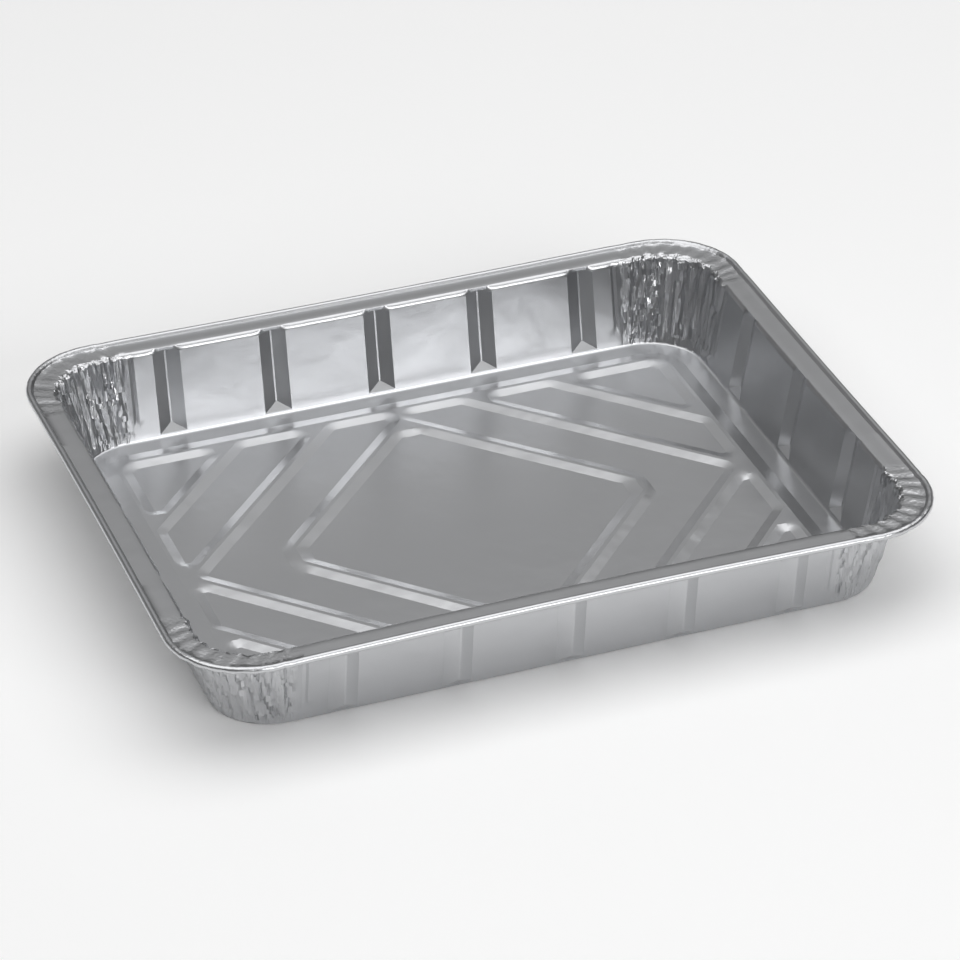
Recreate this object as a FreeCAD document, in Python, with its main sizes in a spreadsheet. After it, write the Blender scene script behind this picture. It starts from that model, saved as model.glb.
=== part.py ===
import FreeCAD, Part
import math
import os
import random

# A half-size catering tray pressed from aluminium foil: one piece, with a rolled
# rim, a flat flange, walls stiffened by upright V grooves, corners gathered into
# pleats, and a base embossed with a border bead and diagonal beads.
#
# Frame: millimetres, +Z up, +X along the long side. The origin is the middle of
# the underside, so the tray rests on the plane Z = 0.

# name, value, what it is
DIMENSIONS = [
    ("RimLength", 322.0, "over the rolled rim, long side"),
    ("RimWidth", 262.0, "over the rolled rim, short side"),
    ("RimCorner", 36.0, "outer corner radius of the rim, seen from above"),
    ("TrayHeight", 41.4, "underside to the top of the rolled rim"),
    ("FoilGauge", 0.3, "thickness of the foil as modelled"),
    ("RollDiameter", 3.0, "outer diameter of the rolled rim"),
    ("FlangeDrop", 1.4, "top of the roll down to the flange"),
    ("FlangeWidth", 8.5, "flat flange, from the shoulder to the roll"),
    ("ShoulderRun", 1.6, "slanted shoulder at the top of the wall, both ways"),
    ("WallSetback", 7.1, "how far the wall leans out from foot to shoulder"),
    ("FootBevel", 1.3, "slanted foot of the wall, both ways"),
    ("FootCorner", 25.0, "corner radius of the wall, seen from above"),
    ("RibWidth", 12.0, "opening of a V groove in the wall"),
    ("RibDepth", 2.45, "depth of a V groove, pressed outwards"),
    ("RibValley", 0.7, "narrow flat at the bottom of a V groove"),
    ("RibRoot", 1.0, "how far a groove's form reaches back inside the wall"),
    ("RibStart", 1.5, "height above the floor where a groove begins"),
    ("RibHip", 3.5, "height of the sloped foot of a groove"),
    ("LongRibPitch", 47.25, "between the grooves of a long wall"),
    ("ShortRibPitch", 52.7, "between the grooves of a short wall"),
    ("LongFlat", 111.5, "half the part of a long wall that has no pleats"),
    ("ShortFlat", 78.5, "half the part of a short wall that has no pleats"),
    ("PleatDepth", 1.3, "ridge to valley of a corner pleat"),
    ("BeadHeight", 1.1, "height of the embossed beads above the floor"),
    ("BeadTop", 1.8, "flat top of a bead"),
    ("BeadSlope", 4.3, "width of a bead's flank"),
    ("BorderSlope", 6.0, "width of the border bead's outer flank"),
    ("BorderInset", 15.5, "wall foot to the middle of the border bead"),
    ("BeadAngle", 46.4, "angle of the diagonal beads to the long side, degrees"),
    ("BeadPitch", 29.6, "between the diagonal beads, square to them"),
    ("DiamondReach", 58.7, "centre of the tray to the first diagonal bead"),
    ("DiamondCorner", 14.5, "corner radius of the central diamond"),
    ("PadCorner", 6.8, "corner radius of the other recessed pads"),
]
LONG_RIBS = 5
SHORT_RIBS = 3
PLEATS = 11
PLEAT_SEED = 7
# Small overlaps that let one tool pass right through the face of another.
OVERRUN = 0.1
HEADROOM = 4.0
# The roll's section, in degrees from straight outwards: it starts on the flange,
# goes over the top and ends underneath, short of the flange.
ROLL_START = 190.0
ROLL_END = -140.0
ROLL_STEP = 30
# Degrees turned by each short straight length of a rounded bead corner.
CORNER_STEP = 15.0

doc = FreeCAD.newDocument("foil_tray")
sheet = doc.addObject("Spreadsheet::Sheet", "Sizes")
for row, (alias, value, meaning) in enumerate(DIMENSIONS, start=1):
    sheet.set("A%d" % row, alias)
    sheet.set("B%d" % row, str(value))
    sheet.set("C%d" % row, meaning)
    sheet.setAlias("B%d" % row, alias)
doc.recompute()


def size(alias):
    """Read one driving dimension from the sheet."""
    return float(sheet.get(alias))


gauge = size("FoilGauge")
flange_top = size("TrayHeight") - size("FlangeDrop")
shoulder_foot = flange_top - size("ShoulderRun")
# The flange's inner edge, the top of the wall and its foot, as insets from the rim.
shoulder_inset = size("RollDiameter") + size("FlangeWidth")
wall_top_inset = shoulder_inset + size("ShoulderRun")
foot_inset = wall_top_inset + size("WallSetback")
foot_length = size("RimLength") / 2 - foot_inset
foot_width = size("RimWidth") / 2 - foot_inset
# The wall runs straight from its foot, at the floor's level, to the shoulder.
draft = math.atan2(size("WallSetback"), shoulder_foot - gauge)


def offset_path(points, distance):
    """Shift an open line of (outward, up) points square to itself, to its right."""
    normals = []
    for (x0, z0), (x1, z1) in zip(points, points[1:]):
        length = math.hypot(x1 - x0, z1 - z0)
        normals.append(((z1 - z0) / length, -(x1 - x0) / length))
    normals = [normals[0]] + normals + [normals[-1]]
    shifted = []
    for (x, z), (ax, az), (bx, bz) in zip(points, normals, normals[1:]):
        reach = distance / (1 + ax * bx + az * bz)
        shifted.append((x + reach * (ax + bx), z + reach * (az + bz)))
    return shifted


def wall_profile(distance):
    """Section of the wall as (outward from the foot, up) points, offset outwards."""
    bevel = size("FootBevel")
    lean = math.tan(draft)
    over = size("ShoulderRun") + HEADROOM
    points = [
        (-2 * bevel, gauge),
        (-bevel, gauge),
        (bevel * lean, gauge + bevel),
        (size("WallSetback"), shoulder_foot),
        (size("WallSetback") + over, shoulder_foot + over),
    ]
    return offset_path(points, distance)[1:]


def corner_pleats():
    """Places along a corner, from 0 to 1, and how far each stands out or in."""
    draw = random.Random(PLEAT_SEED)
    count = 2 * PLEATS
    places = [(0.0, 0.0)]
    for step in range(1, count):
        place = (step + draw.uniform(-0.28, 0.28)) / count
        swing = draw.uniform(0.55, 1.0) * (1 if step % 2 else -1)
        places.append((place, swing))
    places.append((1.0, 0.0))
    return places


def corner_points(half_length, half_width, swing):
    """Pleated corner in the first quadrant, from the short wall to the long wall."""
    radius = size("FootCorner")
    short_run = half_width - radius - size("ShortFlat")
    long_run = half_length - radius - size("LongFlat")
    bend = radius * math.pi / 2
    total = short_run + bend + long_run
    points = []
    for place, depth in corner_pleats():
        along = place * total
        if along < short_run:
            turn, slip = 0.0, along - short_run
        elif along < short_run + bend:
            turn, slip = (along - short_run) / radius, 0.0
        else:
            turn, slip = math.pi / 2, along - short_run - bend
        out = radius + depth * swing
        x = half_length - radius + out * math.cos(turn) - slip * math.sin(turn)
        y = half_width - radius + out * math.sin(turn) + slip * math.cos(turn)
        points.append((x, y))
    return points


def wall_outline(outward, up, swing, thickness):
    """Closed outline of the pleated wall at one level, moved out by a thickness."""
    quadrant = corner_points(foot_length + outward, foot_width + outward, swing)
    (x_first, y_first), (x_last, y_last) = quadrant[0], quadrant[-1]
    run_in = [(x_first, y_first - 1.0)] + quadrant + [(x_last - 1.0, y_last)]
    quadrant = offset_path(run_in, thickness)[1:-1]
    loop = list(quadrant)
    loop += [(-x, y) for x, y in reversed(quadrant)]
    loop += [(-x, -y) for x, y in quadrant]
    loop += [(x, -y) for x, y in reversed(quadrant)]
    loop.append(loop[0])
    return Part.makePolygon([FreeCAD.Vector(x, y, up) for x, y in loop])


def keep(name, shape):
    """Add a finished outline to the document."""
    feature = doc.addObject("Part::Feature", name)
    feature.Shape = shape
    return feature


def loft(name, sections):
    """Solid with straight faces from one outline to the next."""
    feature = doc.addObject("Part::Loft", name)
    feature.Sections = sections
    feature.Solid = True
    feature.Ruled = True
    return feature


def tub(name, distance):
    """The space inside the wall, or with a distance the tray's outer form."""
    half_swing = size("PleatDepth") / 2
    swings = [0.0, half_swing / 2, half_swing, half_swing]
    sections = []
    pairs = zip(wall_profile(0.0), wall_profile(distance), swings)
    for level, ((outward, _), (moved, up), swing) in enumerate(pairs):
        outline = wall_outline(outward, up, swing, moved - outward)
        sections.append(keep("%s_outline_%d" % (name, level), outline))
    return loft(name, sections)


def rounded_wire(half_length, half_width, radius, up, smooth=True):
    """Rectangle with round corners."""
    lines = [(-1, 0, -half_length), (0, -1, -half_width)]
    lines += [(1, 0, -half_length), (0, 1, -half_width)]
    return filleted_wire([(line, radius) for line in lines], 0.0, up, smooth)


def filleted_wire(sides, inset, up, smooth=False):
    """Outline inside a ring of straight lines, moved in and rounded.

    Each side is ((a, b, c), radius): the inside is where a*x + b*y >= c, and the
    radius rounds the corner between this side and the next one. A corner that
    points into the outline is rounded the other way round.
    """
    moved = [(a, b, c + inset) for (a, b, c), radius in sides]
    corners = []
    for index, (_, radius) in enumerate(sides):
        a0, b0, c0 = moved[index]
        a1, b1, c1 = moved[(index + 1) % len(moved)]
        cross = a0 * b1 - b0 * a1
        tip = FreeCAD.Vector((c0 * b1 - b0 * c1) / cross, (a0 * c1 - c0 * a1) / cross, up)
        turn = math.atan2(cross, a0 * a1 + b0 * b1)
        bulge = math.copysign(1.0, cross)
        round_off = radius - bulge * inset
        inward = FreeCAD.Vector(a0 + a1, b0 + b1, 0).normalize() * bulge
        middle = tip + inward * (round_off / math.cos(turn / 2))
        spoke = FreeCAD.Vector(a0, b0, 0) * (-bulge * round_off)
        steps = 2 if smooth else math.ceil(abs(math.degrees(turn)) / CORNER_STEP)
        corner = []
        for step in range(steps + 1):
            swivel = FreeCAD.Rotation(FreeCAD.Vector(0, 0, 1), math.degrees(turn) * step / steps)
            corner.append(middle + swivel.multVec(spoke))
        corners.append(corner)
    if not smooth:
        points = [point for corner in corners for point in corner]
        return Part.makePolygon(points + points[:1])
    edges = []
    for index, corner in enumerate(corners):
        edges.append(Part.LineSegment(corners[index - 1][-1], corner[0]).toShape())
        edges.append(Part.Arc(*corner).toShape())
    return Part.Wire(edges)


def bead_lines():
    """The lines that the embossed beads follow, by name, as (a, b, c)."""
    angle = math.radians(size("BeadAngle"))
    across, up_slope = math.sin(angle), math.cos(angle)
    half_length = foot_length - size("BorderInset")
    half_width = foot_width - size("BorderInset")
    lines = {
        "right": (-1, 0, -half_length),
        "back": (0, -1, -half_width),
        "front": (0, 1, -half_width),
        "middle": (1, 0, 0.0),
    }
    for number in range(3):
        reach = size("DiamondReach") + number * size("BeadPitch")
        lines["beyond_%d" % number] = (across, up_slope, reach)
        lines["within_%d" % number] = (-across, -up_slope, -reach)
        lines["beyond_front_%d" % number] = (across, -up_slope, reach)
        lines["within_front_%d" % number] = (-across, up_slope, -reach)
    return lines


def pad(name, sides):
    """Recessed pad between beads, from just under the floor to just over the beads."""
    slope = size("BeadSlope") / size("BeadHeight")
    floor_inset = size("BeadTop") / 2 + size("BeadSlope")
    levels = [-OVERRUN / 2, size("BeadHeight") + OVERRUN]
    sections = []
    for number, rise in enumerate(levels):
        outline = filleted_wire(sides, floor_inset - rise * slope, gauge + rise)
        sections.append(keep("%s_outline_%d" % (name, number), outline))
    return loft(name, sections)


def mirrored(name, source, normal):
    """Mirror image in a plane through the middle of the tray."""
    feature = doc.addObject("Part::Mirroring", name)
    feature.Source = source
    feature.Base = (0, 0, 0)
    feature.Normal = normal
    return feature


def group(name, shapes):
    """Several separate solids kept as one object."""
    feature = doc.addObject("Part::Compound", name)
    feature.Links = shapes
    return feature


def union(name, shapes):
    """Several overlapping solids joined."""
    feature = doc.addObject("Part::MultiFuse", name)
    feature.Shapes = shapes
    return feature


def cut(name, base, tool):
    """One solid less another."""
    feature = doc.addObject("Part::Cut", name)
    feature.Base = base
    feature.Tool = tool
    return feature


def border_plate():
    """Low plate under the whole network of beads, with its sloping outer flank."""
    slope = size("BorderSlope") / size("BeadHeight")
    half_top = size("BeadTop") / 2
    sections = []
    for number, rise in enumerate([-OVERRUN / 3, size("BeadHeight")]):
        inset = size("BorderInset") - half_top - slope * (size("BeadHeight") - rise)
        radius = size("FootCorner") - inset
        outline = rounded_wire(
            foot_length - inset, foot_width - inset, radius, gauge + rise, smooth=False
        )
        sections.append(keep("plate_outline_%d" % number, outline))
    return loft("border_plate", sections)


def bead_network():
    """Plate with the pads taken out, which leaves the beads."""
    lines = bead_lines()
    tight = size("PadCorner")
    wide = size("DiamondCorner")
    border = size("FootCorner") - size("BorderInset")
    a, b, c = lines["within_0"]
    diamond_lines = [(a, b, c), (-a, b, c), (-a, -b, c), (a, -b, c)]
    diamond = pad("diamond_pad", [(line, wide) for line in diamond_lines])
    chevron = pad("chevron_pad", [
        (lines["middle"], tight),
        (lines["beyond_0"], wide),
        (lines["beyond_front_0"], tight),
        (lines["middle"], tight),
        (lines["front"], tight),
        (lines["within_front_1"], tight),
        (lines["within_1"], tight),
        (lines["back"], tight),
    ])
    slanted = pad("slanted_pad", [
        (lines["right"], tight),
        (lines["within_2"], tight),
        (lines["back"], tight),
        (lines["beyond_1"], tight),
    ])
    corner = pad("corner_pad", [
        (lines["right"], border),
        (lines["back"], tight),
        (lines["beyond_2"], tight),
    ])
    back_pads = group("right_back_pads", [slanted, corner])
    front_pads = mirrored("right_front_pads", back_pads, (0, 1, 0))
    right_pads = group("right_pads", [back_pads, front_pads, chevron])
    left_pads = mirrored("left_pads", right_pads, (1, 0, 0))
    return cut("bead_network", border_plate(), group("pads", [diamond, right_pads, left_pads]))


def groove(name, along, turn, reach, outside):
    """V groove in one wall, with a sloped foot: the hollow or its outer form."""
    feature = doc.addObject("Part::Wedge", name)
    flank = "(Sizes.RibWidth - Sizes.RibValley) / 2"
    moved = "Sizes.FoilGauge * sqrt(1 + (Sizes.RibDepth / (%s)) ^ 2)" % flank
    shift = moved if outside else "0"
    root_half = "Sizes.RibWidth / 2 + %s * Sizes.RibRoot / Sizes.RibDepth" % flank
    bindings = {
        "Ymin": "%s - Sizes.RibRoot" % shift,
        "Ymax": "%s + Sizes.RibDepth" % shift,
        "Xmin": "-(%s)" % root_half,
        "Xmax": root_half,
        "X2min": "-Sizes.RibValley / 2",
        "X2max": "Sizes.RibValley / 2",
        "Zmin": "Sizes.RibStart - Sizes.RibHip * Sizes.RibRoot / Sizes.RibDepth",
        "Z2min": "Sizes.RibStart + Sizes.RibHip",
        "Zmax": "Sizes.TrayHeight + %s" % HEADROOM,
        "Z2max": "Sizes.TrayHeight + %s" % HEADROOM,
    }
    for target, expression in bindings.items():
        feature.setExpression(target, expression)
    lean = FreeCAD.Rotation(FreeCAD.Vector(1, 0, 0), -math.degrees(draft))
    face = FreeCAD.Rotation(FreeCAD.Vector(0, 0, 1), turn)
    place = face.multVec(FreeCAD.Vector(along, reach, 0)) + FreeCAD.Vector(0, 0, gauge)
    feature.Placement = FreeCAD.Placement(place, face.multiply(lean))
    return feature


def grooves(name, outside):
    """All the grooves, evenly pitched about the middle of each wall."""
    walls = [
        ("back", 0, LONG_RIBS, size("LongRibPitch"), foot_width),
        ("left", 90, SHORT_RIBS, size("ShortRibPitch"), foot_length),
        ("front", 180, LONG_RIBS, size("LongRibPitch"), foot_width),
        ("right", 270, SHORT_RIBS, size("ShortRibPitch"), foot_length),
    ]
    features = []
    for wall, turn, count, pitch, reach in walls:
        for number in range(count):
            along = (number - (count - 1) / 2) * pitch
            label = "%s_%s_%d" % (name, wall, number)
            features.append(groove(label, along, turn, reach, outside))
    return features


def lowered(name, source, drop):
    """The same solid, set lower."""
    feature = group(name, [source])
    feature.Placement = FreeCAD.Placement(FreeCAD.Vector(0, 0, -drop), FreeCAD.Rotation())
    return feature


def rolled_rim():
    """Foil curled outwards and back under itself, open on its inner side."""
    outer = size("RollDiameter") / 2
    inner = outer - gauge
    half_length = size("RimLength") / 2 - outer
    half_width = size("RimWidth") / 2 - outer
    radius = size("RimCorner") - outer
    level = size("TrayHeight") - outer
    path = keep("roll_path", rounded_wire(half_length, half_width, radius, level))
    centre = FreeCAD.Vector(half_length, radius - half_width, level)

    def at(distance, degrees):
        turn = math.radians(degrees)
        return centre + FreeCAD.Vector(math.cos(turn), 0, math.sin(turn)) * distance

    turns = [ROLL_START] + list(range(180, math.ceil(ROLL_END), -ROLL_STEP)) + [ROLL_END]
    points = [at(outer, turn) for turn in turns] + [at(inner, turn) for turn in reversed(turns)]
    section = Part.makePolygon(points + points[:1])
    feature = doc.addObject("Part::Sweep", "rolled_rim")
    feature.Sections = [keep("roll_section", section)]
    feature.Spine = (path, [])
    feature.Solid = True
    return feature


def flange_plate():
    """Flat flange, from inside the wall out into the roll."""
    inset = size("RollDiameter") - 2 * gauge / 3
    sections = []
    for number, up in enumerate([flange_top - gauge, flange_top]):
        outline = rounded_wire(
            size("RimLength") / 2 - inset,
            size("RimWidth") / 2 - inset,
            size("RimCorner") - inset,
            up,
        )
        sections.append(keep("flange_outline_%d" % number, outline))
    return loft("flange_plate", sections)


def above_flange():
    """Everything higher than the middle of the flange's thickness."""
    feature = doc.addObject("Part::Box", "above_flange")
    feature.setExpression("Length", "Sizes.RimLength")
    feature.setExpression("Width", "Sizes.RimWidth")
    feature.Height = 3 * HEADROOM
    corner = FreeCAD.Vector(
        -size("RimLength") / 2, -size("RimWidth") / 2, flange_top - gauge / 2
    )
    feature.Placement = FreeCAD.Placement(corner, FreeCAD.Rotation())
    return feature


beads = bead_network()
inside = union(
    "inside",
    [cut("inside_floor", tub("inside_tub", 0.0), beads)] + grooves("inside_groove", False),
)
outside_floor = cut("outside_floor", tub("outside_tub", gauge), lowered("beads_below", beads, gauge))
outside = union("outside", [outside_floor] + grooves("outside_groove", True))
outside_bowl = cut("outside_bowl", outside, above_flange())
pressed = union("pressed", [outside_bowl, flange_plate(), rolled_rim()])
tray = cut("tray", pressed, inside)
tray.Label = "foil_tray"
doc.recompute()

for item in doc.Objects:
    if "Invalid" in item.State or "Error" in item.State:
        raise RuntimeError("%s did not build" % item.Label)
if tray.Shape.isNull() or not tray.Shape.isValid():
    raise RuntimeError("the tray is not a valid solid")
box = tray.Shape.BoundBox
print("solids", len(tray.Shape.Solids), "volume", round(tray.Shape.Volume), "mm3")
print("box", [round(v, 2) for v in (box.XMin, box.YMin, box.ZMin, box.XMax, box.YMax, box.ZMax)])

os.makedirs("parts", exist_ok=True)
tray.Shape.exportStep(os.path.join("parts", tray.Label + ".step"))
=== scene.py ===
"""A foil catering tray on a pale floor: the pressed sheet, its finish, the studio and the camera."""

import logging
import math
import random
from dataclasses import dataclass, field
from enum import Enum
from itertools import pairwise, product

import bmesh
import bpy
from mathutils import Matrix, Vector, noise


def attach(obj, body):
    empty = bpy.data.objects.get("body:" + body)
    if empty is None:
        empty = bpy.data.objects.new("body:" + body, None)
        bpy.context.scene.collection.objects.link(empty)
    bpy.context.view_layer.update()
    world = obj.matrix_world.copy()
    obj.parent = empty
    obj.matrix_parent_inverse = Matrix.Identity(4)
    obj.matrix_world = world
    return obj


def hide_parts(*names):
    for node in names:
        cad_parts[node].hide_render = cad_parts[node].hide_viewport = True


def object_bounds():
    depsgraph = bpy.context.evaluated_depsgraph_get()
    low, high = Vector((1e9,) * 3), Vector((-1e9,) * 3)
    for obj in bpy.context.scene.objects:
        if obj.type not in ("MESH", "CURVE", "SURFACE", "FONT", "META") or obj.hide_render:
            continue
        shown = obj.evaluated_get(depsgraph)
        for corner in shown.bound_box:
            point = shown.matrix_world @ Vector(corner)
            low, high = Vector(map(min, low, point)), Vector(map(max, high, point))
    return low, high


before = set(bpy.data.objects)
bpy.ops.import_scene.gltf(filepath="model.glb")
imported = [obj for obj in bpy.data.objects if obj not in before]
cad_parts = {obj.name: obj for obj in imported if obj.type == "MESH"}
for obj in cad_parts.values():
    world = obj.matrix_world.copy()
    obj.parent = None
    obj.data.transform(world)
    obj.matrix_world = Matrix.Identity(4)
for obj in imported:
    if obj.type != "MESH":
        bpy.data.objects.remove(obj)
cad_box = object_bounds()

LOG = logging.getLogger("foil_tray")
MM = 0.001
NEAR = 1e-6  # Two places closer than this are the same one.

Line = tuple[float, float, float]


def cad_extent(axis: int) -> float:
    """Measure the tray's box along one axis, in millimetres."""
    low, high = cad_box
    return round((high[axis] - low[axis]) / MM, 3)


def clamp(value: float, low: float, high: float) -> float:
    """Keep a value within two limits."""
    return max(low, min(high, value))


def spread(start: float, stop: float, count: int) -> list[float]:
    """Divide a span into equal steps and list where each of them ends."""
    return [start + (stop - start) * step / count for step in range(1, count + 1)]


class Zone(Enum):
    """The part of the tray's outline that a station lies on."""

    LONG_SIDE = "long_side"
    SHORT_SIDE = "short_side"
    CORNER = "corner"


@dataclass(frozen=True)
class TraySizes:
    """The tray's sizes, in millimetres, and the bead's angle, in degrees."""

    # Rim, flange, walls and the flat part of each wall, measured from its middle
    rim_length: float = cad_extent(0)
    rim_width: float = cad_extent(1)
    rim_corner: float = 36.0
    height: float = cad_extent(2)
    gauge: float = 0.3
    roll: float = 3.0
    flange_drop: float = 1.4
    flange: float = 8.5
    shoulder: float = 1.6
    setback: float = 7.1
    foot_fillet: float = 0.9
    foot_corner: float = 25.0
    long_flat: float = 111.5
    short_flat: float = 78.5

    # Grooves of the walls, each with a sloped foot and a short slope at its top
    rib_width: float = 12.0
    rib_depth: float = 2.45
    rib_valley: float = 0.7
    rib_start: float = 1.5
    rib_hip: float = 3.5
    rib_top: float = 1.8
    rib_end: float = 0.4
    long_ribs: int = 5
    short_ribs: int = 3
    long_rib_pitch: float = 47.25
    short_rib_pitch: float = 52.7

    # Crease where the pleats of a corner begin
    crease: float = 1.3
    crease_depth: float = 0.55
    crease_start: float = 6.0
    crease_rise: float = 3.0

    # Pleats and crinkles of a corner's wall, and the height at which they are at their full
    pleat: float = 1.3
    crinkle: float = 0.85
    pleat_rise: float = 8.0

    # Folds that fan out over the flange at a corner, their sag, the share by which they draw
    # the sheet in, and the share that is left over the crest of the roll
    fan_fold: float = 0.3
    fan_crinkle: float = 0.16
    fan_sag: float = 0.12
    fan_pull: float = 0.5
    crest_rise: float = 0.3
    crest_share: float = 0.3

    # Embossed base: its beads, and the pads between them
    bead_height: float = 1.1
    bead_top: float = 1.8
    bead_slope: float = 4.3
    border_slope: float = 6.0
    border_inset: float = 15.5
    bead_angle: float = 46.4
    bead_pitch: float = 29.6
    bead_count: int = 3
    diamond_reach: float = 58.7
    diamond_corner: float = 14.5
    pad_corner: float = 6.8

    # Inward bow of the soft sides, the strip inside the rim that takes part in it, and the
    # powers by which it grows up the wall and from the corners to the middle
    bow_front: float = 3.0
    bow_back: float = 1.7
    bow_side: float = 0.7
    bow_strip: float = 51.0
    bow_rise: float = 1.25
    bow_spread: float = 1.4

    @property
    def foot_length(self) -> float:
        """Half the length between the feet of the short walls."""
        return self.rim_length / 2 - self.wall_inset

    @property
    def foot_width(self) -> float:
        """Half the width between the feet of the long walls."""
        return self.rim_width / 2 - self.wall_inset

    @property
    def wall_inset(self) -> float:
        """How far the wall's foot lies inside the rim."""
        return self.roll + self.flange + self.shoulder + self.setback

    @property
    def flange_top(self) -> float:
        """Height of the flange above the tray's underside."""
        return self.height - self.flange_drop

    @property
    def lean(self) -> float:
        """Outward run of the wall for each millimetre of its height."""
        return self.setback / (self.flange_top - self.shoulder - self.gauge)

    @property
    def bead_foot(self) -> float:
        """Half the width of a bead where it meets the floor."""
        return self.bead_top / 2 + self.bead_slope

    @property
    def border_start(self) -> float:
        """How far in from the wall the border bead starts to rise."""
        return self.border_inset - self.bead_top / 2 - self.border_slope

    @property
    def bead_reaches(self) -> list[float]:
        """How far the diagonal beads lie from the middle of the base."""
        return [self.diamond_reach + number * self.bead_pitch for number in range(self.bead_count)]


@dataclass(frozen=True)
class PadCorner:
    """The arc that rounds the corner between two sides of a pad.

    Cross is the sine of the angle from the first side to the second. Bulge is 1 where the
    corner points out of the pad and -1 where it points in.
    """

    centre_x: float
    centre_y: float
    first: Line
    second: Line
    cross: float
    bulge: float
    radius: float

    @classmethod
    def between(cls, first: Line, second: Line, radius: float) -> "PadCorner":
        """Fit an arc between two sides.

        Args:
            first: The side before the corner.
            second: The side after it.
            radius: The arc's radius, in millimetres.

        Returns:
            The corner.
        """
        cross = first[0] * second[1] - first[1] * second[0]
        bulge = math.copysign(1.0, cross)
        c0, c1 = first[2] + bulge * radius, second[2] + bulge * radius
        centre_x = (c0 * second[1] - first[1] * c1) / cross
        centre_y = (first[0] * c1 - c0 * second[0]) / cross
        return cls(centre_x, centre_y, first, second, cross, bulge, radius)

    def depth_inside(self, x: float, y: float) -> float | None:
        """Measure from a point to the arc.

        Args:
            x: Place along the tray, in millimetres.
            y: Place across the tray, in millimetres.

        Returns:
            Millimetres inside the arc, negative outside it, or None where a straight side
            is nearer than the corner.
        """
        dx, dy = x - self.centre_x, y - self.centre_y
        along = -self.bulge * (dx * self.second[1] - dy * self.second[0]) / self.cross
        across = -self.bulge * (self.first[0] * dy - self.first[1] * dx) / self.cross
        distance = math.hypot(dx, dy)
        reach = 4 * self.radius
        if along <= 0 or across <= 0 or distance >= reach:
            return None
        return self.bulge * (self.radius - distance)


class Pad:
    """A recessed pad of the base: straight sides with rounded corners."""

    def __init__(
        self, sides: list[tuple[Line, float]], notch: tuple[int, int] | None = None
    ) -> None:
        """Round the corners between the sides.

        Args:
            sides: Each side's line (a, b, c), inside where a*x + b*y >= c, and the
                radius that rounds the corner between it and the next side.
            notch: The two sides that meet in a corner pointing into the pad, if any.
        """
        self.lines = [line for line, _ in sides]
        self.notch = notch
        following = self.lines[1:] + self.lines[:1]
        self.corners = [
            PadCorner.between(line, after, radius)
            for (line, radius), after in zip(sides, following)
        ]

    def depth_inside(self, x: float, y: float) -> float:
        """Measure from a point to the pad's outline.

        Args:
            x: Place along the tray, in millimetres.
            y: Place across the tray, in millimetres.

        Returns:
            Millimetres inside the outline, negative outside it.
        """
        reach = [a * x + b * y - c for a, b, c in self.lines]
        if self.notch:
            first, second = self.notch
            reach[first] = reach[second] = max(reach[first], reach[second])
        inside = min(reach)
        for corner in self.corners:
            rounded = corner.depth_inside(x, y)
            if rounded is None:
                continue
            if corner.bulge > 0:
                inside = min(inside, rounded)
            elif reach[self.notch[0]] == inside or inside > 0:
                others = [r for index, r in enumerate(reach) if index not in self.notch]
                inside = min([rounded] + others)
        return inside


class BaseRelief:
    """Height of the embossed beads over the floor of the tray."""

    def __init__(self, sizes: TraySizes) -> None:
        """Lay out the pads between the beads.

        Args:
            sizes: The tray's sizes.
        """
        self.sizes = sizes
        s = sizes
        turn = math.radians(s.bead_angle)
        across, along = math.sin(turn), math.cos(turn)
        reach = s.bead_reaches
        right: Line = (-1.0, 0.0, s.border_inset - s.foot_length)
        back: Line = (0.0, -1.0, s.border_inset - s.foot_width)
        front: Line = (0.0, 1.0, s.border_inset - s.foot_width)
        middle: Line = (1.0, 0.0, 0.0)
        tight, wide = s.pad_corner, s.diamond_corner
        within = [(-across, -along, -r) for r in reach]
        beyond = [(across, along, r) for r in reach]
        self.diamond = Pad([
            ((-across, -along, -reach[0]), wide),
            ((across, -along, -reach[0]), wide),
            ((across, along, -reach[0]), wide),
            ((-across, along, -reach[0]), wide),
        ])
        self.chevron = Pad([
            (middle, tight),
            (beyond[0], wide),
            ((across, -along, reach[0]), tight),
            (middle, tight),
            (front, tight),
            ((-across, along, -reach[1]), tight),
            (within[1], tight),
            (back, tight),
        ], notch=(1, 2))
        self.quarter_pads = [
            Pad([(right, tight), (within[2], tight), (back, tight), (beyond[1], tight)]),
            Pad([(right, s.foot_corner - s.border_inset), (back, tight), (beyond[2], tight)]),
        ]

    def edge_inset(self, x: float, y: float) -> float:
        """Measure from the foot of the wall in to a point of the floor.

        Args:
            x: Place along the tray, in millimetres.
            y: Place across the tray, in millimetres.

        Returns:
            Millimetres inside the foot of the wall.
        """
        s = self.sizes
        qx = abs(x) - (s.foot_length - s.foot_corner)
        qy = abs(y) - (s.foot_width - s.foot_corner)
        outside = math.hypot(max(qx, 0.0), max(qy, 0.0)) + min(max(qx, qy), 0.0)
        return s.foot_corner - outside

    def height(self, x: float, y: float) -> float:
        """Find how high the beads stand at a point of the floor.

        Args:
            x: Place along the tray, in millimetres.
            y: Place across the tray, in millimetres.

        Returns:
            Millimetres above the floor.
        """
        s = self.sizes
        rise = (self.edge_inset(x, y) - s.border_start) / s.border_slope
        depths = [self.diamond.depth_inside(x, y), self.chevron.depth_inside(abs(x), y)]
        depths += [pad.depth_inside(abs(x), abs(y)) for pad in self.quarter_pads]
        rise = min([rise] + [(s.bead_foot - depth) / s.bead_slope for depth in depths])
        return s.bead_height * clamp(rise, 0.0, 1.0)


@dataclass(frozen=True)
class Station:
    """One place round the tray's outline, where a column of the wall stands.

    Along is millimetres from the middle of a side, or the share of a corner, from 0 to 1.
    """

    zone: Zone
    along: float
    side_x: float
    side_y: float


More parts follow.
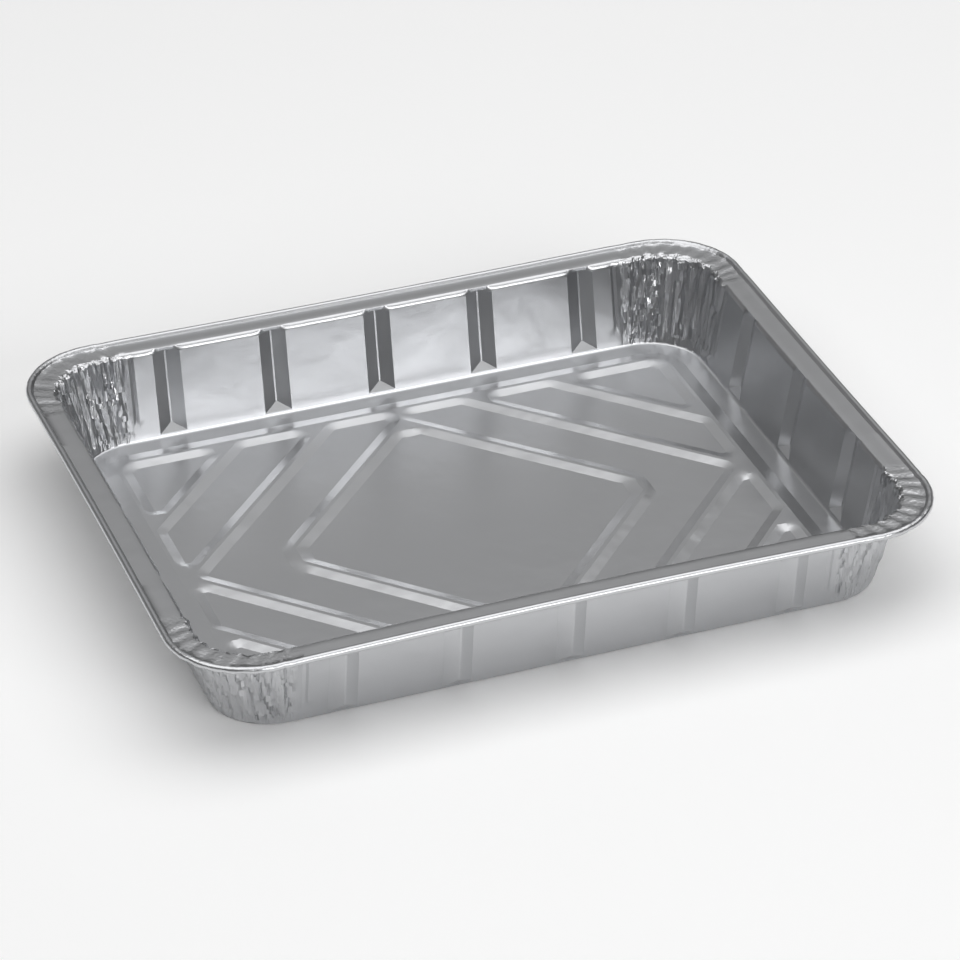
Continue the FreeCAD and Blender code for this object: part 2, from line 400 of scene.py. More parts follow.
@dataclass(frozen=True)
class Row:
    """One ring of the sheet: how far out of the foot, how high, and how far it swings."""

    outward: float
    up: float
    swing: float


@dataclass
class CornerGathers:
    """The folds of a corner, where the flat sheet has more edge than the wall has room for.

    Places along a corner run from 0 to 1.
    """

    # Pleats: how many turns they make, how far their places scatter and the weakest swing
    seed: int = 7
    turns: int = 22
    scatter: float = 0.28
    weakest: float = 0.55

    # The first and the last fourteenth of a corner are eased into the flat wall
    easing: float = 14.0

    # Crinkles: upright strands that sway, with puckers. Each size is along the corner and
    # up the wall, in millimetres
    sway_size: tuple[float, float] = (11.0, 20.0)
    sway: float = 4.0
    strand_size: tuple[float, float] = (1.35, 70.0)
    strand: float = 1.5
    sunk: float = 0.9
    pucker_size: tuple[float, float] = (2.4, 45.0)
    pucker: float = 0.9

    # Steps through the noise along X and Y, so that no two corners are alike, and on to the
    # puckers
    corner_steps: tuple[float, float] = (3.1, 7.7)
    pucker_step: float = 5.0

    # The line of the crinkles that goes on over the rim: its length and its height
    fan_length: float = 40.0
    fan_level: float = 60.0

    ridges: list[tuple[float, float]] = field(init=False)

    def __post_init__(self) -> None:
        """Draw the places of a corner's pleats and how far each of them swings."""
        draw = random.Random(self.seed)
        self.ridges = [(0.0, 0.0)]
        for step in range(1, self.turns):
            place = (step + draw.uniform(-self.scatter, self.scatter)) / self.turns
            side = 1 if step % 2 else -1
            self.ridges.append((place, draw.uniform(self.weakest, 1.0) * side))
        self.ridges.append((1.0, 0.0))

    def fade(self, place: float) -> float:
        """Ease the folds in at both ends of a corner, from 0 to 1."""
        return min(1.0, self.easing * place, self.easing * (1 - place))

    def pleat(self, place: float) -> float:
        """Find how far the pleats swing at a place along a corner.

        Args:
            place: The place along the corner.

        Returns:
            The swing, from -1 inwards to 1 outwards.
        """
        for (start, low), (stop, high) in pairwise(self.ridges):
            if place <= stop:
                return low + (high - low) * (place - start) / max(stop - start, NEAR)
        return 0.0

    def crinkle(self, station: Station, travel: float, up: float) -> float:
        """Find how far the fine crinkles between the pleats swing.

        Args:
            station: The place round the outline, which tells the four corners apart.
            travel: Way gone along the corner, in millimetres.
            up: Height on the wall, in millimetres.

        Returns:
            The swing, from -1 inwards to 1 outwards.
        """
        step_x, step_y = self.corner_steps
        corner = step_x * station.side_x + step_y * station.side_y
        sway = self.sway * self._noise(travel, up, self.sway_size, corner)
        strand = self._noise(travel + sway, up, self.strand_size, corner)
        pucker = self._noise(travel - sway, up, self.pucker_size, corner + self.pucker_step)
        ridge = self.strand * (1 - 2 * abs(strand)) - self.sunk
        return clamp(ridge + self.pucker * pucker, -1.0, 1.0)

    def fan(self, station: Station) -> float:
        """Find the crinkle that runs straight out over the rim at a station."""
        return self.crinkle(station, station.along * self.fan_length, self.fan_level)

    def _noise(self, travel: float, up: float, size: tuple[float, float], layer: float) -> float:
        """Read smooth noise of a given size at a place on the wall, from -1 to 1."""
        return noise.noise(Vector((travel / size[0], up / size[1], layer)))


@dataclass
class PressedTray:
    """The tray's one sheet of foil, from the embossed base out to the rolled rim."""

    sizes: TraySizes = field(default_factory=TraySizes)
    gathers: CornerGathers = field(default_factory=CornerGathers)

    # Width of the floor's squares, in millimetres: plain, and where the corners gather
    floor_pitch: float = 2.9
    gather_pitch: float = 1.12

    # Rings of the foot's bend, of a groove's sloped foot, of the wall and of a groove's top
    foot_rows: int = 3
    hip_rows: int = 3
    wall_rows: int = 12
    top_rows: int = 3

    # The foot's bend, in degrees, how far the folds swing at its end, and the height of the
    # ring just over a groove's sloped foot
    foot_turn: float = 80.0
    foot_swing: float = 0.15
    hip_margin: float = 0.4

    # Shoulder rings (share of its run, share of its rise, swing), and the flange's swings
    shoulder_rows: tuple[tuple[float, float, float], ...] = ((0.35, 0.45, 0.9), (0.75, 0.86, 0.7))
    flange_swings: tuple[float, ...] = (0.5, 0.3, 0.2, 0.12)
    flange_margin: float = 0.3

    # Turns of the rolled edge, in degrees, from the flange round to its inner lip
    roll_turns: tuple[int, ...] = tuple(range(165, -136, -30))

    # Share of the finish's folds that goes on over the rim, from just under the flange
    rim_gather: float = 0.3
    rim_margin: float = 0.2

    # Thickness of the sheet as a share of the gauge, which keeps it inside the tray's box
    sheet_share: float = 0.9

    # Folds sharper than these stay crisp, in degrees: in the floor, the walls and the rim
    floor_fold: float = 9.0
    wall_fold: float = 20.0
    rim_fold: float = 40.0

    def _grid_lines(self, centres: list[float], flat: float, end: float) -> list[float]:
        """Choose the grid lines along one direction of the base.

        Args:
            centres: Middles of the grooves that the lines have to meet.
            flat: Where the pleated corner begins.
            end: Half the length between the feet of the walls.

        Returns:
            Rising places from one end of the floor to the other, in millimetres.
        """
        s = self.sizes
        floor_end = end - s.foot_fillet
        edges = {0.0, flat - 2 * s.crease, flat - s.crease, flat, floor_end}
        valley = s.rib_valley / 2
        flank = [valley] + spread(valley, s.rib_width / 2, self.hip_rows)
        for centre in centres:
            offsets = [-offset for offset in flank] + flank
            edges.update(abs(centre + offset) for offset in offsets if centre + offset > 0)
        insets = (
            s.border_start,
            s.border_inset - s.bead_top / 2,
            s.border_inset + s.bead_top / 2,
            s.border_inset + s.bead_foot,
        )
        edges.update(end - inset for inset in insets)
        lines = [0.0]
        surplus = 0.05
        for start, stop in pairwise(sorted(edges)):
            pitch = self.gather_pitch if start >= flat - NEAR else self.floor_pitch
            lines += spread(start, stop, max(1, math.ceil((stop - start) / pitch - surplus)))
        return [-line for line in reversed(lines[1:])] + lines

    def _base_lines(self) -> tuple[list[float], list[float]]:
        """Choose the grid lines of the base.

        Returns:
            The lines' places along X and along Y, in millimetres.
        """
        s = self.sizes
        long_centres = [step * s.long_rib_pitch for step in range((s.long_ribs + 1) // 2)]
        short_centres = [step * s.short_rib_pitch for step in range((s.short_ribs + 1) // 2)]
        along = self._grid_lines(long_centres, s.long_flat, s.foot_length)
        across = self._grid_lines(short_centres, s.short_flat, s.foot_width)
        return along, across

    def _round_off(self, x: float, y: float) -> tuple[float, float]:
        """Pull a point of the rectangular grid inside the floor's round corner.

        Args:
            x: Place along the tray, in millimetres.
            y: Place across the tray, in millimetres.

        Returns:
            The point's new X and Y.
        """
        s = self.sizes
        radius = s.foot_corner - s.foot_fillet
        core_x = s.foot_length - s.foot_corner
        core_y = s.foot_width - s.foot_corner
        a = max(abs(x) - core_x, 0.0) / radius
        b = max(abs(y) - core_y, 0.0) / radius
        round_x = min(abs(x), core_x) + radius * a * math.sqrt(1 - b * b / 2)
        round_y = min(abs(y), core_y) + radius * b * math.sqrt(1 - a * a / 2)
        return math.copysign(round_x, x), math.copysign(round_y, y)

    def _station_at(self, x: float, y: float) -> Station:
        """Describe a point of the floor's edge as a station of the outline.

        Args:
            x: Place along the tray, in millimetres.
            y: Place across the tray, in millimetres.

        Returns:
            The station.
        """
        s = self.sizes
        side_x, side_y = math.copysign(1.0, x), math.copysign(1.0, y)
        slack = 0.01
        edge = s.foot_corner - s.foot_fillet - slack
        dx = abs(x) - (s.foot_length - s.foot_corner)
        dy = abs(y) - (s.foot_width - s.foot_corner)
        if abs(x) <= s.long_flat + NEAR and dy > edge:
            return Station(Zone.LONG_SIDE, x, side_x, side_y)
        if abs(y) <= s.short_flat + NEAR and dx > edge:
            return Station(Zone.SHORT_SIDE, y, side_x, side_y)
        short_run = s.foot_width - s.foot_corner - s.short_flat
        long_run = s.foot_length - s.foot_corner - s.long_flat
        bend = s.foot_corner * math.pi / 2
        if dy < 0:
            travel = short_run + dy
        elif dx < 0:
            travel = short_run + bend - dx
        else:
            travel = short_run + math.atan2(dy, dx) * s.foot_corner
        return Station(Zone.CORNER, travel / (short_run + bend + long_run), side_x, side_y)

    def _wall_levels(self) -> list[float]:
        """Choose the heights of the wall's rings, closer where the grooves slope.

        Returns:
            Heights over the floor, in millimetres.
        """
        s = self.sizes
        hip_end = s.rib_start + s.rib_hip
        straight = hip_end + self.hip_margin
        wall_top = s.flange_top - s.shoulder - s.gauge
        levels = [s.rib_start] + spread(s.rib_start, hip_end, self.hip_rows) + [straight]
        levels += spread(straight, wall_top - s.rib_top, self.wall_rows)
        return levels + spread(wall_top - s.rib_top, wall_top, self.top_rows)

    def _rows(self) -> list[Row]:
        """List the rings from the foot of the wall out to the rolled edge.

        Returns:
            The rings, in the order in which the sheet grows.
        """
        s = self.sizes
        fillet = s.foot_fillet
        rows = []
        for step, turn in enumerate(spread(0.0, math.radians(self.foot_turn), self.foot_rows), 1):
            out = -fillet + fillet * math.sin(turn) * (1 + s.lean)
            up = s.gauge + fillet * (1 - math.cos(turn))
            rows.append(Row(out, up, self.foot_swing * step / self.foot_rows))
        for level in self._wall_levels():
            swing = min(1.0, self.foot_swing + level / s.pleat_rise)
            rows.append(Row(level * s.lean, s.gauge + level, swing))
        wall_top = s.flange_top - s.shoulder
        for run, rise, swing in self.shoulder_rows:
            rows.append(Row(s.setback + run * s.shoulder, wall_top + rise * s.shoulder, swing))
        flange_start = s.setback + s.shoulder
        inner = flange_start + self.flange_margin
        outer = flange_start + s.flange - self.flange_margin
        places = [inner] + spread(inner, outer, len(self.flange_swings) - 1)
        rows += [Row(out, s.flange_top, swing) for out, swing in zip(places, self.flange_swings)]
        radius = s.roll / 2
        for turn in self.roll_turns:
            angle = math.radians(turn)
            out = flange_start + s.flange + radius + radius * math.cos(angle)
            rows.append(Row(out, s.height - radius + radius * math.sin(angle), 0.0))
        return rows

    def _groove(self, station: Station, up: float) -> float:
        """Find how deep a straight wall is pressed out by a groove or a corner's crease.

        Args:
            station: The place round the outline, on a straight side.
            up: Height over the floor, in millimetres.

        Returns:
            The depth, in millimetres.
        """
        s = self.sizes
        long_side = station.zone is Zone.LONG_SIDE
        pitch = s.long_rib_pitch if long_side else s.short_rib_pitch
        outermost = (s.long_ribs if long_side else s.short_ribs) // 2
        number = clamp(round(station.along / pitch), -outermost, outermost)
        aside = abs(station.along - number * pitch)
        flank = (s.rib_width - s.rib_valley) / 2
        depth = s.rib_depth * (s.rib_width / 2 - aside) / flank
        foot = s.rib_depth * (up - s.rib_start) / s.rib_hip
        top = s.rib_depth * (s.flange_top - s.gauge - s.rib_end - up) / s.rib_top
        groove = max(0.0, min(depth, s.rib_depth, foot, top))
        middle = (s.long_flat if long_side else s.short_flat) - s.crease
        crease = 1 - abs(abs(station.along) - middle) / s.crease
        start = clamp((up - s.crease_start) / s.crease_rise, 0.0, 1.0)
        return groove + s.crease_depth * max(0.0, min(crease, start, top))

    def _bow(self, x: float, y: float, station: Station, up: float) -> tuple[float, float]:
        """Find how the soft sides bow in, more and more towards the rim.

        Args:
            x: Place along the tray, in millimetres.
            y: Place across the tray, in millimetres.
            station: The place round the outline.
            up: Height above the tray's underside, in millimetres.

        Returns:
            The shift along X and Y, in millimetres.
        """
        s = self.sizes
        half_length, half_width = s.rim_length / 2, s.rim_width / 2
        share = max(0.0, (up - s.gauge) / s.flange_top) ** s.bow_rise
        over_x = math.cos(math.pi / 2 * min(1.0, abs(x) / half_length)) ** s.bow_spread
        over_y = math.cos(math.pi / 2 * min(1.0, abs(y) / half_width)) ** s.bow_spread
        near_x = max(0.0, abs(x) - half_length + s.bow_strip) / s.bow_strip
        near_y = max(0.0, abs(y) - half_width + s.bow_strip) / s.bow_strip
        amount = s.bow_back if station.side_y > 0 else s.bow_front
        shift_x = -station.side_x * s.bow_side * share * over_y * near_x
        shift_y = -station.side_y * amount * share * over_x * near_y
        return shift_x, shift_y

    def _place(self, station: Station, row: Row) -> Vector:
        """Find where a station of the outline lies on one row.

        Args:
            station: The place round the outline.
            row: The ring of the sheet.

        Returns:
            The point, in metres.
        """
        s = self.sizes
        up = row.up
        if station.zone is Zone.CORNER:
            x, y, up = self._corner_point(station, row)
        else:
            # The grooves end below the rim, so the rolled edge, which doesn't swing, has none.
            out = self._groove(station, up - s.gauge) if row.swing else 0.0
            if station.zone is Zone.LONG_SIDE:
                x, y = station.along, station.side_y * (s.foot_width + row.outward + out)
            else:
                x, y = station.side_x * (s.foot_length + row.outward + out), station.along
        shift_x, shift_y = self._bow(x, y, station, row.up)
        return Vector((x + shift_x, y + shift_y, up)) * MM

    def _corner_point(self, station: Station, row: Row) -> tuple[float, float, float]:
        """Find the place of a corner station, with its folds.

        Args:
            station: The place round the outline.
            row: The ring of the sheet.

        Returns:
            X, Y and Z in millimetres.
        """
        s = self.sizes
        half_length = s.foot_length + row.outward
        half_width = s.foot_width + row.outward
        over = row.outward - s.setback - s.shoulder
        radius = s.foot_corner + min(0.0, row.outward)
        radius += max(0.0, over) * (s.rim_corner - s.foot_corner) / (s.flange + s.roll)
        short_run = half_width - radius - s.short_flat
        long_run = half_length - radius - s.long_flat
        bend = radius * math.pi / 2
        travel = station.along * (short_run + bend + long_run)
        turn = clamp((travel - short_run) / radius, 0.0, math.pi / 2)
        slip = min(travel - short_run, 0.0) + max(travel - short_run - bend, 0.0)
        swing, lift = self._fold(station, row, travel, over > 0)
        out = radius + swing
        x = half_length - radius + out * math.cos(turn) - slip * math.sin(turn)
        y = half_width - radius + out * math.sin(turn) + slip * math.cos(turn)
        return station.side_x * x, station.side_y * y, row.up + lift

    def _fold(self, station: Station, row: Row, travel: float, rim: bool) -> tuple[float, float]:
        """Find how far a corner's folds move a point of the sheet.

        Args:
            station: The place round the outline.
            row: The ring of the sheet.
            travel: Way gone along the corner, in millimetres.
            rim: Whether the row is on the flange or the roll, where the folds fan out.

        Returns:
            How far the point swings outwards and how far it rises, in millimetres.
        """
        s = self.sizes
        place = station.along
        fade = self.gathers.fade(place)
        pleat = self.gathers.pleat(place)
        fine = self.gathers.crinkle(station, travel, row.up) * s.crinkle * fade
        swing = (pleat * s.pleat / 2 + fine) * row.swing
        if not rim:
            return swing, 0.0
        fold = (pleat * s.fan_fold + self.gathers.fan(station) * s.fan_crinkle) * fade
        share = s.crest_share if row.up > s.flange_top + s.crest_rise else 1.0
        return swing - abs(fold) * s.fan_pull, fold * share - s.fan_sag * fade

    def _emboss_base(self, bm: bmesh.types.BMesh) -> None:
        """Spread a grid over the floor, with the lines that the beads need.

        Args:
            bm: The mesh to add to.
        """
        along, across = self._base_lines()
        columns, lines = len(along) - 1, len(across) - 1
        bmesh.ops.create_grid(bm, x_segments=columns, y_segments=lines, size=1.0)
        for vert in bm.verts:
            column = round((vert.co.x + 1) / 2 * columns)
            line = round((vert.co.y + 1) / 2 * lines)
            x, y = self._round_off(along[column], across[line])
            vert.co = Vector((x, y, self.sizes.gauge)) * MM

    def _press_beads(self, bm: bmesh.types.BMesh) -> None:
        """Raise the floor's points to the height of the beads.

        Args:
            bm: The mesh, with its floor still flat.
        """
        gauge, rounding = self.sizes.gauge, 1e-4
        relief = BaseRelief(self.sizes)
        floor = [vert for vert in bm.verts if abs(vert.co.z / MM - gauge) < rounding]
        for vert in floor:
            vert.co.z = (gauge + relief.height(vert.co.x / MM, vert.co.y / MM)) * MM

    def _crease_lines(self, bm: bmesh.types.BMesh) -> None:
        """Cut the floor along the edges of the diagonal beads, so that they fold cleanly.

        Args:
            bm: The mesh, with its floor still flat.
        """
        s = self.sizes
        turn = math.radians(s.bead_angle)
        offsets = (-s.bead_foot, -s.bead_top / 2, s.bead_top / 2, s.bead_foot)
        for side_x, side_y in product((-1, 1), repeat=2):
            normal = Vector((side_x * math.sin(turn), side_y * math.cos(turn), 0))
            for reach, offset in product(s.bead_reaches, offsets):
                distance = (reach + offset) * MM
                faces = self._faces_along(bm, normal, distance)
                geometry = set(faces)
                for face in faces:
                    geometry.update(face.edges)
                    geometry.update(face.verts)
                self._snap(faces, normal, distance)
                bmesh.ops.bisect_plane(
                    bm, geom=list(geometry), dist=1e-5,
                    plane_co=normal * distance, plane_no=normal,
                )

    def _faces_along(
        self, bm: bmesh.types.BMesh, normal: Vector, distance: float
    ) -> list[bmesh.types.BMFace]:
        """Collect the floor's faces beside one edge of a diagonal bead.

        Args:
            bm: The mesh.
            normal: The direction from the middle of the base square to the edge.
            distance: How far the edge lies from the middle, in metres.

        Returns:
            The faces in the bead's own quarter of the base, inside the border bead.
        """
        s = self.sizes
        limit_x = (s.foot_length - s.border_inset + s.bead_top) * MM
        limit_y = (s.foot_width - s.border_inset + s.bead_top) * MM
        side_x, side_y = math.copysign(1.0, normal.x), math.copysign(1.0, normal.y)
        beside, slack = 3.0 * MM, 0.3 * MM
        faces = []
        for face in bm.faces:
            middle = face.calc_center_median()
            inside = abs(middle.x) < limit_x and abs(middle.y) < limit_y
            quarter = middle.x * side_x > -slack and middle.y * side_y > -slack
            if inside and quarter and abs(middle.dot(normal) - distance) < beside:
                faces.append(face)
        return faces

    def _snap(self, faces: list[bmesh.types.BMFace], normal: Vector, distance: float) -> None:
        """Move points that all but touch a bead's edge onto it, clear of the border bead.

        Args:
            faces: The faces beside the edge.
            normal: The direction from the middle of the base square to the edge.
            distance: How far the edge lies from the middle, in metres.
        """
        s = self.sizes
        clearance = 0.2
        margin = s.border_inset + s.bead_foot + clearance
        limit_x, limit_y = (s.foot_length - margin) * MM, (s.foot_width - margin) * MM
        touching, axis_width = 0.7 * MM, 4.0 * MM
        for vert in {vert for face in faces for vert in face.verts}:
            off = vert.co.dot(normal) - distance
            free = abs(vert.co.x) < limit_x and abs(vert.co.y) < limit_y
            on_axis = min(abs(vert.co.x), abs(vert.co.y)) < axis_width
            if free and not on_axis and abs(off) < touching:
                vert.co -= normal * off

    def _raise_walls(self, bm: bmesh.types.BMesh) -> None:
        """Extrude the floor's edge row by row up the wall and out over the rim.

        The attribute "gathered" tells the finish where the foil is gathered, and how much.

        Args:
            bm: The mesh, which holds only the floor.
        """
        s = self.sizes
        tag = bm.verts.layers.int.new("station")
        gathered = bm.verts.layers.float.new("gathered")
        boundary = [edge for edge in bm.edges if edge.is_boundary]
        stations = []
        for vert in {vert for edge in boundary for vert in edge.verts}:
            vert[tag] = len(stations)
            stations.append(self._station_at(vert.co.x / MM, vert.co.y / MM))
        for row in self._rows():
            grown = bmesh.ops.extrude_edge_only(bm, edges=boundary)["geom"]
            boundary = [item for item in grown if isinstance(item, bmesh.types.BMEdge)]
            boundary = [edge for edge in boundary if edge.is_boundary]
            share = self.rim_gather if row.up > s.flange_top - self.rim_margin else 1.0
            for vert in {vert for edge in boundary for vert in edge.verts}:
                station = stations[vert[tag]]
                vert.co = self._place(station, row)
                if station.zone is Zone.CORNER and row.up > s.foot_fillet:
                    vert[gathered] = self.gathers.fade(station.along) * share

    def _fold_hips(self, bm: bmesh.types.BMesh) -> None:
        """Split the squares that cross a groove's sloped ends along the line where they fold.

        Args:
            bm: The mesh, with its walls.
        """
        s = self.sizes
        low = (s.gauge + s.rib_start) * MM
        high = (s.flange_top - s.shoulder) * MM
        warped = 0.06 * MM
        for face in list(bm.faces):
            middle = face.calc_center_median()
            straight = abs(middle.x) < s.long_flat * MM or abs(middle.y) < s.short_flat * MM
            if len(face.verts) != 4 or not straight or not low < middle.z < high:
                continue
            corners = list(face.verts)
            gap = (corners[0].co + corners[2].co - corners[1].co - corners[3].co) / 2
            if gap.length > warped:
                start = 0 if gap.dot(Vector((middle.x, middle.y, 0))) > 0 else 1
                bmesh.utils.face_split(face, corners[start], corners[start + 2])

    def _fold_edges(self, bm: bmesh.types.BMesh) -> None:
        """Keep the folds of the foil crisp: fine ones in the floor, larger ones round the rim.

        Args:
            bm: The finished sheet.
        """
        s = self.sizes
        slack = 0.01
        floor_top = (s.gauge + s.bead_height + slack) * MM
        wall_top = (s.flange_top - s.shoulder - slack) * MM
        for face in bm.faces:
            face.smooth = True
        for edge in bm.edges:
            height = max(vert.co.z for vert in edge.verts)
            limit = self.rim_fold
            if height < floor_top:
                limit = self.floor_fold
            elif height < wall_top:
                limit = self.wall_fold
            edge.smooth = edge.calc_face_angle(0.0) < math.radians(limit)

    def build(self, material: bpy.types.Material) -> bpy.types.Object:
        """Press the tray and dress it in foil.

        Args:
            material: The finish of the foil.

        Returns:
            The finished piece, riding on the tray's body.
        """
        bm = bmesh.new()
        self._emboss_base(bm)
        self._raise_walls(bm)
        self._fold_hips(bm)
        self._crease_lines(bm)
        self._press_beads(bm)
        bmesh.ops.recalc_face_normals(bm, faces=bm.faces[:])
        self._fold_edges(bm)
        mesh = bpy.data.meshes.new("pressed_foil")
        bm.to_mesh(mesh)
        bm.free()
        piece = bpy.data.objects.new("pressed_foil", mesh)
        bpy.context.collection.objects.link(piece)
        mesh.materials.append(material)
        thickness = piece.modifiers.new("gauge", "SOLIDIFY")
        thickness.thickness = self.sizes.gauge * self.sheet_share * MM
        thickness.offset = -1.0
        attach(piece, "root")
        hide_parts("foil_tray")
        return piece


def srgb(code: str) -> tuple[float, float, float, float]:
    """Turn a hex colour into the linear values that the shader takes.

    Args:
        code: The colour as #rrggbb.

    Returns:
        Red, green, blue and alpha.
    """
    channels = [int(code[index:index + 2], 16) / 255 for index in (1, 3, 5)]
    linear = [c / 12.92 if c <= 0.04045 else ((c + 0.055) / 1.055) ** 2.4 for c in channels]
    return linear[0], linear[1], linear[2], 1.0


def add_node(tree: bpy.types.NodeTree, kind: str, **inputs: object) -> bpy.types.Node:
    """Add a node to a tree and set its inputs.

    Args:
        tree: The node tree.
        kind: The node's type.
        **inputs: Values by socket name, with spaces written as underscores.

    Returns:
        The new node.
    """
    node = tree.nodes.new(kind)
    for name, value in inputs.items():
        node.inputs[name.replace("_", " ")].default_value = value
    return node


@dataclass(frozen=True)
class Wave:
    """One pattern of unevenness: its size along X, Y and Z, its depth and where it lies."""

    size_mm: tuple[float, float, float]
    depth_mm: float
    gathered_only: bool


@dataclass(frozen=True)
class RolledFoil:
    """Aluminium foil, rolled bright and then pressed in a die.

    The rolls leave it satin rather than a mirror, and pressing leaves a soft
    waviness, which breaks up what it reflects.
    """

    colour: str = "#cacbcd"
    roughness: float = 0.31
    waves: tuple[Wave, ...] = (
        # Soft waviness that pressing leaves in the flat parts
        Wave((17.0, 17.0, 17.0), 0.35, False),
        # Grain of the rolls, drawn coarser than the real one so that it shows
        Wave((1.3, 1.3, 1.3), 0.012, False),
        # Upright strands between the pleats of the gathered corners
        Wave((1.6, 1.6, 34.0), 0.85, True),
    )

    def build(self) -> bpy.types.Material:
        """Make the foil's material.

        Returns:
            The material, with its waves laid over each other as bumps.
        """
        material = bpy.data.materials.new("rolled_aluminium_foil")
        material.use_nodes = True
        tree = material.node_tree
        shader = tree.nodes["Principled BSDF"]
        shader.inputs["Base Color"].default_value = srgb(self.colour)
        shader.inputs["Metallic"].default_value = 1.0
        shader.inputs["Roughness"].default_value = self.roughness
        place = add_node(tree, "ShaderNodeTexCoord")
        mask = add_node(tree, "ShaderNodeAttribute")
        mask.attribute_name = "gathered"
        normal = None
        for wave in self.waves:
            scale = tuple(1 / (mm * MM) for mm in wave.size_mm)
            sized = add_node(tree, "ShaderNodeMapping", Scale=scale)
            tree.links.new(place.outputs["Object"], sized.inputs["Vector"])
            pattern = add_node(tree, "ShaderNodeTexNoise", Scale=1.0, Detail=2.0)
            tree.links.new(sized.outputs["Vector"], pattern.inputs["Vector"])
            bump = add_node(tree, "ShaderNodeBump", Strength=1.0, Distance=wave.depth_mm * MM)
            tree.links.new(pattern.outputs["Fac"], bump.inputs["Height"])
            if wave.gathered_only:
                tree.links.new(mask.outputs["Fac"], bump.inputs["Strength"])
            if normal:
                tree.links.new(normal, bump.inputs["Normal"])
            normal = bump.outputs["Normal"]
        tree.links.new(normal, shader.inputs["Normal"])
        return material


@dataclass(frozen=True)
class MattCard:
    """White card, uncoated, so that it shows the tray's shadow and no reflection."""

    colour: str = "#ffffff"
    roughness: float = 0.9

    def build(self) -> bpy.types.Material:
        """Make the card's material.

        Returns:
            The material.
        """
        material = bpy.data.materials.new("matt_white_card")
        material.use_nodes = True
        shader = material.node_tree.nodes["Principled BSDF"]
        shader.inputs["Base Color"].default_value = srgb(self.colour)
        shader.inputs["Roughness"].default_value = self.roughness
        return material


@dataclass(frozen=True)
class SoftBox:
    """One rectangular studio lamp: where it stands, its size and its radiance."""

    name: str
    place: tuple[float, float, float]
    aim: tuple[float, float, float]
    size: tuple[float, float]
    radiance: float

    def build(self) -> bpy.types.Object:
        """Hang the lamp, aimed at its target.

        Returns:
            The lamp.
        """
        lamp = bpy.data.lights.new(self.name, "AREA")
        lamp.shape = "RECTANGLE"
        lamp.size, lamp.size_y = self.size
        lamp.energy = self.radiance * self.size[0] * self.size[1] * math.pi
        holder = bpy.data.objects.new(self.name, lamp)
        bpy.context.collection.objects.link(holder)
        holder.location = self.place
        holder.visible_camera = False
        toward = Vector(self.aim) - Vector(self.place)
        holder.rotation_euler = toward.to_track_quat("-Z", "Y").to_euler()
        return holder


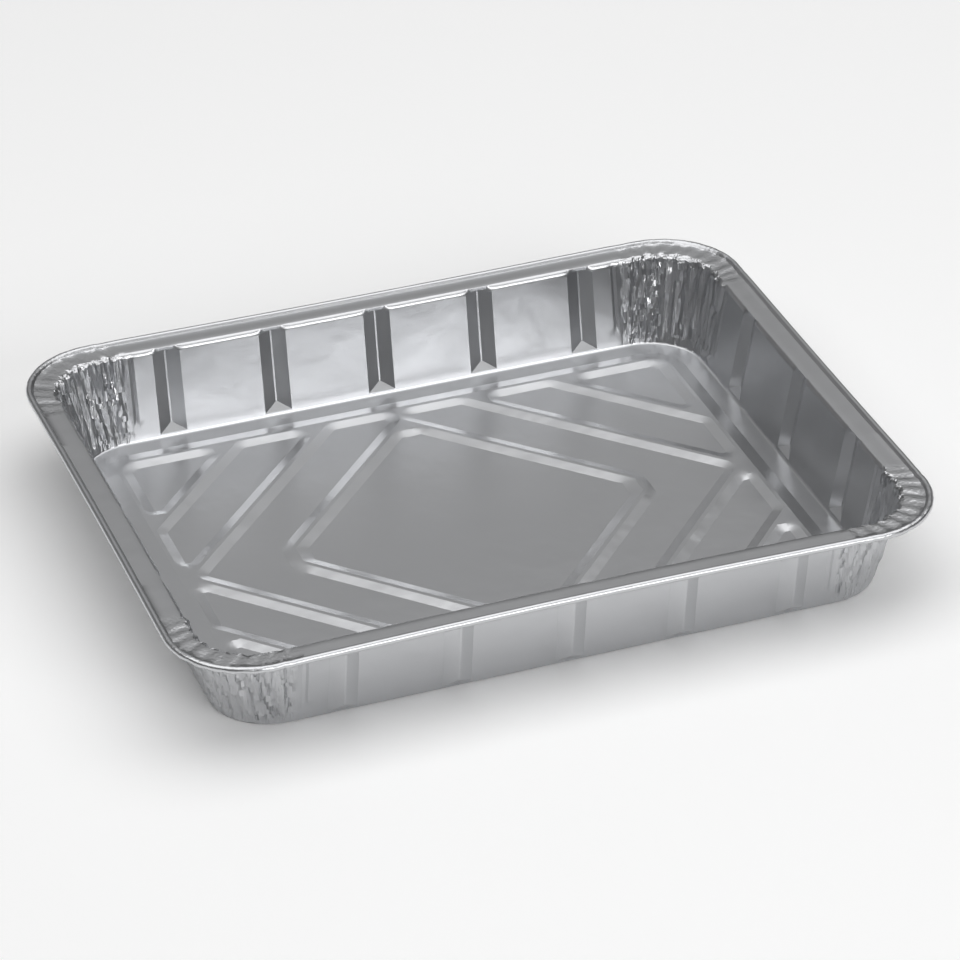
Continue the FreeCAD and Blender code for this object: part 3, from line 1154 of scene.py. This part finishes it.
@dataclass(frozen=True)
class Studio:
    """White floor and soft lamps in a plain grey room, in metres."""

    room: float = 0.07
    floor_reach: float = 6.0
    card: MattCard = MattCard()
    lamps: tuple[SoftBox, ...] = (
        SoftBox("top_box", (0.0, 0.12, 2.2), (0.0, 0.12, 0.0), (5.4, 2.45), 1.6),
        SoftBox("front_strip", (0.2, -1.95, 1.85), (0.0, 0.0, 0.02), (2.6, 0.22), 2.9),
        SoftBox("front_box", (0.6, -2.25, 1.02), (0.0, 0.0, 0.02), (1.6, 0.8), 4.8),
        SoftBox("back_box", (0.45, 2.2, 1.8), (0.0, 0.0, 0.0), (2.8, 2.0), 0.34),
        SoftBox("back_strip", (-1.35, 2.0, 0.72), (0.0, 0.0, 0.02), (1.1, 0.2), 0.8),
    )

    def build(self) -> bpy.types.Object:
        """Light the scene and lay the floor.

        Returns:
            The floor.
        """
        world = bpy.data.worlds.new("plain_room")
        bpy.context.scene.world = world
        world.use_nodes = True
        tree = world.node_tree
        tree.nodes.clear()
        room = add_node(tree, "ShaderNodeBackground", Strength=self.room)
        output = add_node(tree, "ShaderNodeOutputWorld")
        tree.links.new(room.outputs["Background"], output.inputs["Surface"])
        for lamp in self.lamps:
            lamp.build()
        return self._floor()

    def _floor(self) -> bpy.types.Object:
        """Lay the pale floor under the tray.

        Returns:
            The floor.
        """
        bm = bmesh.new()
        bmesh.ops.create_grid(bm, x_segments=1, y_segments=1, size=self.floor_reach)
        mesh = bpy.data.meshes.new("floor")
        bm.to_mesh(mesh)
        bm.free()
        floor = bpy.data.objects.new("floor", mesh)
        bpy.context.collection.objects.link(floor)
        mesh.materials.append(self.card.build())
        return floor


@dataclass(frozen=True)
class PhotoCamera:
    """The camera that took the photograph, found from the tray's corners and grooves.

    Its turn is an axis times an angle in radians, from the tray's axes to the picture's
    right, down and forward.
    """

    focal_px: float = 4437.9
    frame_px: int = 960
    place_mm: tuple[float, float, float] = (-530.5, -1463.0, 984.2)
    turn: tuple[float, float, float] = (2.097, -0.384, 0.200)
    sensor_mm: float = 36.0
    nearest: float = 0.05
    farthest: float = 50.0

    def build(self) -> bpy.types.Object:
        """Place the camera and make it the scene's camera.

        Returns:
            The camera.
        """
        data = bpy.data.cameras.new("photo_camera")
        data.sensor_width = self.sensor_mm
        data.lens = self.focal_px / self.frame_px * self.sensor_mm
        data.clip_start, data.clip_end = self.nearest, self.farthest
        camera = bpy.data.objects.new("photo_camera", data)
        bpy.context.collection.objects.link(camera)
        axis = Vector(self.turn)
        view = Matrix.Rotation(axis.length, 3, axis.normalized())
        right, down, forward = view.row
        facing = Matrix((right, -down, -forward)).transposed()
        camera.matrix_world = Matrix.Translation(Vector(self.place_mm) * MM) @ facing.to_4x4()
        bpy.context.scene.camera = camera
        return camera


def main() -> None:
    """Build the pieces in order and report each one."""
    logging.basicConfig(level=logging.INFO)
    bpy.context.scene.view_settings.view_transform = "Standard"
    foil = RolledFoil().build()
    tray = PressedTray().build(foil)
    LOG.info("built %s with %d faces", tray.name, len(tray.data.polygons))
    floor = Studio().build()
    LOG.info("laid %s", floor.name)
    camera = PhotoCamera().build()
    LOG.info("placed %s", camera.name)


if __name__ == "__main__":
    main()
